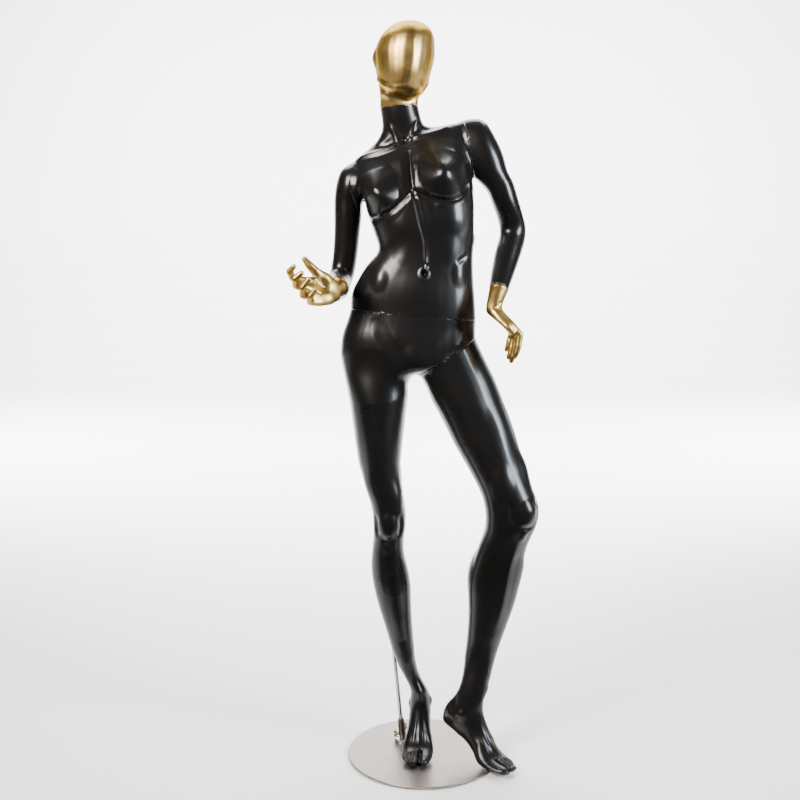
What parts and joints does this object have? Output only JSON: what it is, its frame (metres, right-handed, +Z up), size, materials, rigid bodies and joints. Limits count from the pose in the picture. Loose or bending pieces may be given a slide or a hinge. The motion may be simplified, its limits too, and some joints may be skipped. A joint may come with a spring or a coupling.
{
  "type": "full body display mannequin",
  "caption": "Standing female display figure with a plain egg-shaped head, sections that come apart at the seams, and a calf rod on a round steel base.",
  "frame": {"origin": "middle of the underside of the base plate", "axes": "+Z up, -Y the way the figure faces, +X the figure's own left"},
  "size_m": [0.5728, 0.4508, 1.7834],
  "materials": {
    "black_lacquer": "satin black lacquer on a moulded shell",
    "gold_lacquer": "glossy pearl gold lacquer",
    "brushed_steel": "brushed",
    "satin_steel": "satin",
    "dark_steel": "darkened, satin",
    "brass": "dull",
    "rubber_mat": "matt"
  },
  "bodies": {
    "base": {"base_plate": "brushed_steel", "base_mat": "rubber_mat", "socket_flange": "satin_steel", "flange_screws": "satin_steel", "socket_tube": "dark_steel"},
    "rod": {"calf_rod": "satin_steel", "rod_collar": "satin_steel"},
    "upper_screw": {"upper_wing_screw": "brass"},
    "lower_screw": {"lower_wing_screw": "brass"},
    "figure": {"pelvis_and_right_leg": "black_lacquer", "calf_tube": "satin_steel", "waist_plate": "satin_steel", "waist_peg": "satin_steel", "hip_peg": "satin_steel"},
    "left_leg": {"left_leg": "black_lacquer", "left_leg_plate": "satin_steel"},
    "torso": {"torso": "black_lacquer", "torso_plate": "satin_steel", "neck_peg": "satin_steel", "right_shoulder_peg": "satin_steel", "left_shoulder_peg": "satin_steel"},
    "head": {"head": "gold_lacquer", "head_plate": "satin_steel"},
    "right_arm": {"right_arm": "black_lacquer", "right_arm_plate": "satin_steel", "right_wrist_peg": "satin_steel"},
    "left_arm": {"left_arm": "black_lacquer", "left_arm_plate": "satin_steel", "left_wrist_peg": "satin_steel"},
    "right_hand": {"right_hand": "gold_lacquer"},
    "left_hand": {"left_hand": "gold_lacquer"}
  },
  "joints": [
    {"name": "rod_height", "type": "slide", "parent": "base", "child": "rod", "axis": [-0.0959, -0.0586, 0.9937], "range_m": [0, 0.03]},
    {"name": "upper_screw_turn", "type": "hinge", "parent": "base", "child": "upper_screw", "pos_m": [-0.05288, 0.06024, 0.03681], "axis": [0.5481, 0.8302, 0.1019], "continuous": true},
    {"name": "lower_screw_turn", "type": "hinge", "parent": "base", "child": "lower_screw", "pos_m": [-0.05182, 0.06089, 0.02588], "axis": [-0.9936, 0.065, -0.0921], "continuous": true},
    {"name": "figure_lift", "type": "slide", "parent": "rod", "child": "figure", "axis": [-0.0959, -0.0586, 0.9937], "range_m": [0, 0.04]},
    {"name": "left_leg_pull", "type": "slide", "parent": "figure", "child": "left_leg", "axis": [1, 0, 0], "range_m": [0, 0.04]},
    {"name": "torso_lift", "type": "slide", "parent": "figure", "child": "torso", "axis": [0.0896, 0, 0.996], "range_m": [0, 0.06]},
    {"name": "head_turn", "type": "hinge", "parent": "torso", "child": "head", "pos_m": [-0.06, 0.012, 1.594], "axis": [-0.0698, 0, 0.9976], "range_deg": [-25, 25]},
    {"name": "right_arm_turn", "type": "hinge", "parent": "torso", "child": "right_arm", "pos_m": [-0.16014, 0.022, 1.42593], "axis": [-0.9336, 0, -0.3584], "range_deg": [0, 20]},
    {"name": "left_arm_turn", "type": "hinge", "parent": "torso", "child": "left_arm", "pos_m": [0.10425, 0.022, 1.5006], "axis": [0.9781, 0, 0.2079], "range_deg": [-20, 20]},
    {"name": "right_wrist_turn", "type": "hinge", "parent": "right_arm", "child": "right_hand", "pos_m": [-0.199, -0.128, 1.18], "axis": [0, -1, 0], "range_deg": [-30, 30]},
    {"name": "left_wrist_turn", "type": "hinge", "parent": "left_arm", "child": "left_hand", "pos_m": [0.173, -0.048, 1.172], "axis": [-0.1923, -0.6691, -0.7178], "range_deg": [-30, 30]}
  ]
}
